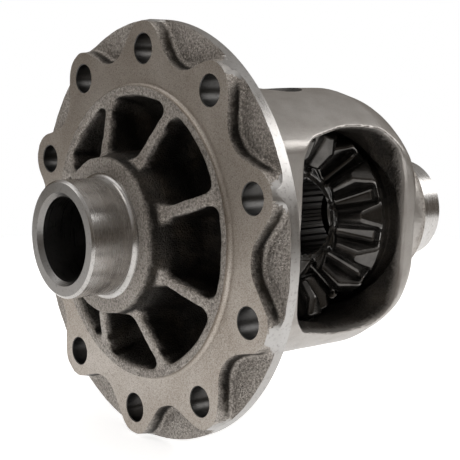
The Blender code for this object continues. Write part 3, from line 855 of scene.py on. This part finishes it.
def paint_case(case, field):
    """Store painted shade where the casting is sheltered, the worn edges, and where its skin is smooth."""
    data = case.data
    points = vertex_array(data) / MM
    normals = normal_array(data)
    # occlusion estimate from the distance field, used for the painted shade
    shelter = np.zeros(len(points))
    for reach, weight in ((3.0, 0.2), (7.0, 0.35), (13.0, 0.45)):
        opened = field.at(points + normals * reach)
        shelter += weight * np.clip(1.0 - opened / reach, 0.0, 1.0)
    depth = field.at(points - normals * 2.2)
    edge = ease(depth + 2.2, 0.55, 1.5)
    radius = np.hypot(points[:, 1], points[:, 2])
    barrel = ease(points[:, 0], -58.5, -56.0) * (1.0 - ease(points[:, 0], 62.0, 65.0))
    outside = ease(field_outer(points), -4.5, -1.0)
    skin = barrel * outside
    # painted shade: sheltered side walls darker than floors, darkest deep in the pockets and inside the
    # barrel
    wall = 1.0 - ease(np.abs(normals[:, 0]), 0.55, 0.92)
    painted_shade = (0.10 + 0.88 * wall) * ease(shelter, 0.12, 0.42)
    front = (radius < FACE_RING_R) & (points[:, 0] < SEAT_X + 3.0)
    pocket = ease(-field.blank_at(points[:, 0], radius), 0.9, 3.2)
    between = np.maximum(ease(rib_gap(points[:, 1], points[:, 2]), 2.4, 4.6),
                         1.0 - ease(points[:, 0], -82.0, -80.2))
    hub = ease(points[:, 0], -86.0, -84.4) * (1.0 - ease(radius, 34.0, 40.0))
    pocket = np.maximum(pocket, 0.95 * hub * between) * (1.0 - 0.16 * ease(radius, 44.0, 54.0))
    painted_shade = np.where(front, np.maximum(painted_shade, pocket), painted_shade)
    inside = barrel * (1.0 - outside)
    painted_shade = np.maximum(painted_shade, 0.92 * inside)
    edge = edge * (1.0 - painted_shade) * (1.0 - 0.75 * barrel)
    for name, values in (("painted_shade", painted_shade), ("edge", edge), ("skin", skin)):
        layer = data.attributes.new(name, "FLOAT", "POINT")
        layer.data.foreach_set("value", values.astype(np.float32))


def field_outer(points):
    """How far outside the barrel and its flats a point lies, millimetres."""
    radius = np.hypot(points[:, 1], points[:, 2])
    barrel = radius - np.interp(points[:, 0], (-60.0, 28.0, 33.0, 38.0, 42.0, 44.3, 45.2, 46.0, 66.0),
                                (57.0, 57.0, 55.7, 53.2, 49.9, 46.0, 33.0, 31.8, 30.2))
    side = np.abs(points[:, 1]) - FLAT_Y
    return np.maximum(barrel, np.where(points[:, 0] < FLAT_START_X, -99.0, side))


# Bevel gears ------------------------------------------------------------------------------------

def side_frame(direction, roll):
    turn = Matrix(((0.0, 0.0, direction), (0.0, -direction, 0.0), (1.0, 0.0, 0.0))).to_4x4()
    return turn @ Matrix.Rotation(roll, 4, "Z")


def pinion_frame(direction, roll):
    turn = Matrix(((1.0, 0.0, 0.0), (0.0, direction, 0.0), (0.0, 0.0, direction))).to_4x4()
    return turn @ Matrix.Rotation(roll, 4, "Z")


def involute_turn(polar, base):
    """Azimuth of a spherical involute at polar angles, from its start on the base cone."""
    safe = np.maximum(polar, base + 1e-6)
    unrolled = np.arccos(np.clip(np.cos(safe) / math.cos(base), -1.0, 1.0)) / math.sin(base)
    turn = unrolled - np.arccos(np.clip(math.tan(base) / np.tan(safe), -1.0, 1.0))
    return np.where(polar <= base, 0.0, turn)


class BevelTooth:
    """Azimuth half width of a spherical involute tooth over the polar angle."""

    def __init__(self, teeth, mate_teeth, addendum, mate_addendum, share):
        self.teeth = teeth
        self.pitch_cone = math.atan2(teeth, mate_teeth)
        self.tip = self.pitch_cone + addendum
        self.root = self.pitch_cone - mate_addendum - ROOT_CLEARANCE
        self.base = math.asin(math.sin(self.pitch_cone) * math.cos(PRESSURE_ANGLE))
        half = TAU / teeth * share / 2.0 - BACKLASH / math.sin(self.pitch_cone) / 4.0
        self.at_base = half + float(involute_turn(np.array(self.pitch_cone), self.base))

    def half_width(self, polar):
        below = np.clip(self.base - polar, 0.0, 1.0)
        return self.at_base + 0.12 * below - involute_turn(np.minimum(polar, self.tip + 0.08), self.base)

    def sides(self, axial, radial, turn):
        """Fields of the tooth between its flanks and of the body below the tooth roots."""
        polar = np.arctan2(radial, axial)
        pitch = TAU / self.teeth
        folded = np.abs(np.mod(turn + pitch / 2.0, pitch) - pitch / 2.0)
        flank = radial * (folded - self.half_width(polar)) * 0.93
        root = np.hypot(axial, radial) * (polar - self.root)
        return flank, root


def line_field(axial, radial, first, second):
    """Signed distance to the line from first to second, positive on its left."""
    run, rise = second[0] - first[0], second[1] - first[1]
    size = math.hypot(run, rise)
    return (run * (radial - first[1]) - rise * (axial - first[0])) / size


class GearField(Grid):
    """Distance field of one gear in its own frame: axis Z, apex at the origin."""

    def __init__(self, reach, bottom, top, voxel):
        self.voxel = voxel
        self.low = np.array([-reach, -reach, bottom])
        sizes = np.ceil((np.array([reach, reach, top]) - self.low) / voxel).astype(int) + 1
        axes = [(self.low[i] + voxel * np.arange(sizes[i])).astype(np.float32) for i in range(3)]
        x, y, self.axial = np.meshgrid(*axes, indexing="ij")
        self.shape = sizes
        self.radial = np.hypot(x, y)
        self.turn = np.arctan2(y, x)


def at_cone(length, polar):
    """Axial and radial place at a length from the apex along a cone."""
    return (length * math.cos(polar), length * math.sin(polar))


def side_gear_field():
    grid = GearField(40.5, 12.0, 48.0, GEAR_VOXEL)
    tooth = BevelTooth(SIDE_TEETH, PINION_TEETH, SIDE_ADDENDUM, PINION_ADDENDUM, SIDE_TOOTH_SHARE)
    flank, root = tooth.sides(grid.axial, grid.radial, grid.turn)
    corners = [
        ((SIDE_FRONT, SPLINE_MINOR_R - 1.5), 0.0),
        ((SIDE_FRONT, 19.7), 0.5),
        (at_cone(SIDE_TOE_L, tooth.tip), 1.6),
        (SIDE_HEEL, 2.6),
        (SIDE_RIM, 0.7),
        ((SIDE_THRUST, 35.6), 0.6),
        ((SIDE_THRUST, SIDE_HUB_R), 0.5),
        ((SIDE_BACK, SIDE_HUB_R), 0.8),
        ((SIDE_BACK, SPLINE_MINOR_R - 1.5), 0.0),
    ]
    blank = polygon_field(grid.axial, grid.radial, round_corners(corners, 5))
    web = line_field(grid.axial, grid.radial, (31.2, 34.3), SIDE_RIM)
    metal = either(either(flank, root, 2.0), web, 2.4)
    grid.values = both(blank, metal, 1.5).astype(np.float32)
    return grid


def pinion_field():
    grid = GearField(31.0, 20.0, 47.5, GEAR_VOXEL)
    tooth = BevelTooth(PINION_TEETH, SIDE_TEETH, PINION_ADDENDUM, SIDE_ADDENDUM, 1.0 - SIDE_TOOTH_SHARE)
    flank, root = tooth.sides(grid.axial, grid.radial, grid.turn)
    core_r = 8.4
    rim = PINION_RIM_ANGLE
    hole = math.asin(core_r / PINION_BACK_L)
    back = [(at_cone(PINION_BACK_L, rim + (hole - rim) * i / 12), 0.0) for i in range(1, 13)]
    corners = [
        ((PINION_FRONT, core_r), 0.0),
        ((PINION_FRONT, 12.45), 0.4),
        (at_cone(PINION_TOE_L, tooth.tip), 1.6),
        (at_cone(PINION_HEEL_L, tooth.tip), 2.0),
        (at_cone(PINION_BACK_L, rim), 0.8),
        *back,
    ]
    blank = polygon_field(grid.axial, grid.radial, round_corners(corners, 5))
    grid.values = both(blank, either(flank, root, 1.8), 1.5).astype(np.float32)
    return grid


def gear_piece(name, grid, faces):
    data = field_mesh(name, grid.values, grid.low, grid.voxel)
    gear = add_object(name, data, MATERIALS["gear"])
    decimate(gear, faces)
    return gear


def spline_cutter(material):
    """Internal splines with flat lands and sloped sides."""
    shape = ((0.0, SPLINE_MAJOR_R), (0.20, SPLINE_MAJOR_R), (0.36, SPLINE_MINOR_R),
             (0.74, SPLINE_MINOR_R), (0.90, SPLINE_MAJOR_R))
    points = []
    for index in range(SPLINE_COUNT):
        for share, radius in shape:
            turn = TAU * (index + share) / SPLINE_COUNT
            points.append((radius * math.cos(turn), radius * math.sin(turn)))
    data = prism_mesh("spline_cutter", lambda z: [(x, y, z) for x, y in points], (12.0, 49.0))
    return add_object("spline_cutter", data, material)


def cone_cutter(name, material, stations, segments=96):
    """Bore tool on the gear's own axis; stations are (axial, radius) from one end to the other."""
    profile = [(stations[0][0], 0.0), *stations, (stations[-1][0], 0.0)]
    return add_object(name, lathe_mesh(name, profile, segments, axis="Z"), material)


def build_side_gears():
    grid = side_gear_field()
    for name, direction in (("side_gear_left", -1.0), ("side_gear_right", 1.0)):
        gear = gear_piece("bevel_" + name, grid, 60000)
        boolean(gear, spline_cutter(MATERIALS["spline"]))
        mouths = ((12.0, 24.0), (SIDE_FRONT - 1.0, 18.4), (SIDE_FRONT + 1.0, 16.2), (20.0, 15.0))
        boolean(gear, cone_cutter("bore_mouth", MATERIALS["spline"], mouths))
        rear = ((44.6, 15.0), (45.4, 16.2), (SIDE_BACK + 1.0, 18.6), (49.0, 20.2))
        boolean(gear, cone_cutter("rear_mouth", MATERIALS["spline"], rear))
        place_gear(gear, grid, side_frame(direction, SIDE_REST_ROLL))
        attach(gear, ("left" if direction < 0.0 else "right") + "_side_gear")
        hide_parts(name)


def build_pinions():
    grid = pinion_field()
    for name, direction in (("upper", 1.0), ("lower", -1.0)):
        gear = gear_piece("bevel_pinion_" + name, grid, 44000)
        bore = (
            (18.0, PIN_HOLE_R + 0.8),
            (PINION_FRONT, PIN_HOLE_R + 0.8),
            (26.4, PIN_HOLE_R),
            (44.2, PIN_HOLE_R),
            (45.8, PIN_HOLE_R + 1.2),
            (49.0, PIN_HOLE_R + 4.0),
        )
        boolean(gear, cone_cutter("pinion_bore", MATERIALS["pin"], bore))
        roll = PINION_REST_ROLL + math.pi / PINION_TEETH
        place_gear(gear, grid, pinion_frame(direction, roll))
        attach(gear, name + "_pinion")
        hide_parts("pinion_gear_" + name)


def place_gear(gear, grid, matrix):
    points = vertex_array(gear.data) / MM
    normals = normal_array(gear.data)
    edge = ease(grid.at(points - normals * 1.6) + 1.6, 0.35, 1.1)
    layer = gear.data.attributes.new("edge", "FLOAT", "POINT")
    layer.data.foreach_set("value", edge.astype(np.float32))
    gear.data.transform(matrix)
    finish_shading(gear, 52.0)


# Pin, washers and lock bolt ------------------------------------------------------------------------

def build_cross_pin():
    half = PIN_HALF_LENGTH
    profile = [
        (-half, 0.0),
        (-half, PIN_R - 1.3),
        (-half + 0.35, PIN_R - 0.55),
        (-half + 1.1, PIN_R),
        (half - 1.1, PIN_R),
        (half - 0.35, PIN_R - 0.55),
        (half, PIN_R - 1.3),
        (half, 0.0),
    ]
    pin = add_object("ground_cross_pin", lathe_mesh("ground_cross_pin", profile, 96, axis="Z"),
                     MATERIALS["pin"])

    def drill(level):
        return [(level[0], y, LOCK_Z + z) for y, z in circle_points(level[1], 32)]

    levels = ((-12.0, LOCK_SEAT_R), (-PIN_R + 0.4, LOCK_HOLE_R), (PIN_R - 0.4, LOCK_HOLE_R),
              (12.0, LOCK_SEAT_R))
    boolean(pin, add_object("pin_drill", prism_mesh("pin_drill", drill, levels), MATERIALS["pin"]))
    finish_shading(pin)
    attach(pin, "carrier")
    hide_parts("cross_pin")


def flat_ring():
    """Half section of a flat washer with its edges broken."""
    low, high = SIDE_THRUST + 0.3, SIDE_THRUST + 1.0
    inner, outer = HUB_BORE_R, THRUST_BOSS_R - 0.6
    edge = 0.16
    return [(low, inner + edge), (low, outer - edge), (low + edge, outer), (high - edge, outer),
            (high, outer - edge), (high, inner + edge), (high - edge, inner), (low + edge, inner)]


def dished_ring():
    """Half section of a washer between two spheres about the apex."""
    profile = []
    for reach, order in ((CAVITY_R - 0.3, 1), (CAVITY_R - 1.0, -1)):
        inner = math.asin(9.9 / reach)
        outer = math.asin(20.8 / reach)
        angles = [inner + (outer - inner) * i / 10 for i in range(11)][::order]
        profile.extend(at_cone(reach, angle) for angle in angles)
    return profile


def build_washers():
    for side, direction in (("left", -1.0), ("right", 1.0)):
        name = "flat_washer_" + side
        washer = add_object(name, lathe_mesh(name, flat_ring(), 96, axis="Z"), MATERIALS["washer"])
        washer.data.transform(side_frame(direction, 0.0))
        finish_shading(washer)
        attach(washer, "carrier")
        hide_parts("side_gear_washer_" + side)
    for level, direction in (("upper", 1.0), ("lower", -1.0)):
        name = "dished_washer_" + level
        washer = add_object(name, lathe_mesh(name, dished_ring(), 96, axis="Z"), MATERIALS["washer"])
        washer.data.transform(pinion_frame(direction, 0.0))
        finish_shading(washer)
        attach(washer, "carrier")
        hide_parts("pinion_washer_" + level)


def build_lock_bolt():
    """Hexagon head with a turned chamfer and washer face, on a plain shank with a pointed end."""
    start = LOCK_SEAT_X + 0.3
    turned = [
        (-14.0, 0.0),
        (-14.0, 1.6),
        (-13.1, 2.5),
        (start, 2.5),
        (start, 4.35),
        (start + 0.35, 4.35),
        (start + 0.35, LOCK_HEAD_R),
        (start + LOCK_HEAD_TALL - 0.75, LOCK_HEAD_R),
        (start + LOCK_HEAD_TALL, 3.7),
        (start + LOCK_HEAD_TALL, 0.0),
    ]
    bolt = add_object("hexagon_lock_bolt", lathe_mesh("hexagon_lock_bolt", turned, 72), MATERIALS["bolt"])

    def hexagon(level):
        return [(level, y, z) for y, z in circle_points(LOCK_HEAD_R, 6)]

    head = add_object("hexagon", prism_mesh("hexagon", hexagon, (start + 0.3, start + LOCK_HEAD_TALL + 2.0)),
                      MATERIALS["bolt"])
    shank = add_object("shank_keeper", prism_mesh(
        "shank_keeper", lambda level: [(level, y, z) for y, z in circle_points(6.0, 48)],
        (-16.0, start + 0.34)), MATERIALS["bolt"])
    boolean(head, shank, "UNION")
    boolean(bolt, head, "INTERSECT")
    bolt.data.transform(Matrix.Translation(Vector((0.0, 0.0, LOCK_Z * MM))))
    finish_shading(bolt)
    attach(bolt, "carrier")
    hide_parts("cross_pin_lock_bolt")


# Studio -----------------------------------------------------------------------------------------

def build_world(scene):
    """White behind the object; the metal mirrors a dark horizon under a grey ceiling."""
    world = bpy.data.worlds.new("studio")
    scene.world = world
    world.use_nodes = True
    tree = world.node_tree
    room = tree.nodes["Background"]
    coords = tree.nodes.new("ShaderNodeTexCoord")
    split = tree.nodes.new("ShaderNodeSeparateXYZ")
    level = tree.nodes.new("ShaderNodeMapRange")
    level.inputs["From Min"].default_value = -1.0
    ramp = tree.nodes.new("ShaderNodeValToRGB")
    stops = (
        (0.0, (0.9, 0.9, 0.9)),
        (0.37, (0.9, 0.9, 0.9)),
        (0.42, (0.11, 0.092, 0.072)),
        (0.62, (0.13, 0.11, 0.09)),
        (0.71, (0.30, 0.28, 0.26)),
        (0.85, (0.46, 0.45, 0.44)),
        (1.0, (0.40, 0.39, 0.38)),
    )
    for place, colour in stops[1:-1]:
        ramp.color_ramp.elements.new(place)
    for element, (place, colour) in zip(ramp.color_ramp.elements, stops):
        element.position = place
        element.color = (*colour, 1.0)
    white = tree.nodes.new("ShaderNodeBackground")
    white.inputs["Color"].default_value = (1.0, 1.0, 1.0, 1.0)
    rays = tree.nodes.new("ShaderNodeLightPath")
    mix = tree.nodes.new("ShaderNodeMixShader")
    tree.links.new(coords.outputs["Generated"], split.inputs[0])
    tree.links.new(split.outputs["Z"], level.inputs["Value"])
    tree.links.new(level.outputs["Result"], ramp.inputs["Fac"])
    tree.links.new(ramp.outputs["Color"], room.inputs["Color"])
    tree.links.new(rays.outputs["Is Camera Ray"], mix.inputs["Fac"])
    tree.links.new(room.outputs["Background"], mix.inputs[1])
    tree.links.new(white.outputs["Background"], mix.inputs[2])
    tree.links.new(mix.outputs["Shader"], tree.nodes["World Output"].inputs["Surface"])


def build_studio():
    scene = bpy.context.scene
    scene.view_settings.view_transform = "Standard"
    half = FLOOR_HALF
    floor = prism_mesh("studio_floor", lambda z: [(-half, -half, z), (half, -half, z), (half, half, z),
                                                  (-half, half, z)], (FLOOR_Z - 6.0, FLOOR_Z))
    f = Finish("pale_floor")
    f.use(Base_Color=(0.86, 0.86, 0.86, 1.0), Roughness=0.9, Emission_Color=(1.0, 1.0, 1.0, 1.0),
          Emission_Strength=0.72)
    add_object("studio_floor", floor, f.material)

    build_world(scene)

    def area(name, place, size, power, tone=(1.0, 1.0, 1.0)):
        light = bpy.data.lights.new(name, "AREA")
        light.shape = "RECTANGLE"
        light.size, light.size_y = size
        light.energy = power
        light.color = tone
        item = bpy.data.objects.new(name, light)
        scene.collection.objects.link(item)
        item.location = place
        item.rotation_euler = (-Vector(place)).to_track_quat("-Z", "Y").to_euler()

    area("softbox_right", (0.99, -0.66, 0.83), (0.9, 0.6), 6.0)
    area("softbox_left", (-0.9, 0.9, 1.0), (1.0, 0.8), 2.5)
    area("softbox_top", (0.0, 0.0, 1.5), (1.2, 1.2), 5.0, (1.0, 0.97, 0.93))

    camera = bpy.data.cameras.new("camera")
    camera.sensor_width = 36.0
    camera.lens = CAMERA_LENS
    eye = bpy.data.objects.new("camera", camera)
    scene.collection.objects.link(eye)
    place = Vector(CAMERA_PLACE)
    forward = (Vector(CAMERA_TARGET) - place).normalized()
    right = forward.cross(Vector(CAMERA_UP)).normalized()
    up = right.cross(forward)
    turn = Matrix((right, up, -forward)).transposed().to_4x4()
    eye.matrix_world = Matrix.Translation(place) @ turn
    camera.clip_start = 0.01
    scene.camera = eye


# Build ------------------------------------------------------------------------------------------

MATERIALS = {
    "cast": cast_iron(),
    "pad": faced_pad(),
    "journal": turned_steel("turned_journal", 0.50, (0.18, 0.32)),
    "bore": turned_steel("bored_steel", 0.26, (0.24, 0.40)),
    "end": turned_steel("faced_end", 0.34, (0.34, 0.48)),
    "rim": turned_steel("turned_rim", 0.44, (0.26, 0.40)),
    # the near black tone of the drilled bolt and pin holes is painted shade
    "hole": turned_steel("drilled_hole_painted_shade", 0.07, (0.28, 0.42)),
    "gear": oiled_gear(),
    "pin": ground_steel("ground_pin", 0.50, (0.16, 0.28)),
    "washer": ground_steel("washer_steel", 0.42, (0.26, 0.40)),
    "bolt": ground_steel("bolt_steel", 0.12, (0.30, 0.45)),
    "spline": ground_steel("cut_spline", 0.10, (0.30, 0.45)),
}

case = build_case()
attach(case, "carrier")
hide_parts("differential_case")
build_cross_pin()
build_washers()
build_lock_bolt()
build_side_gears()
build_pinions()


build_studio()
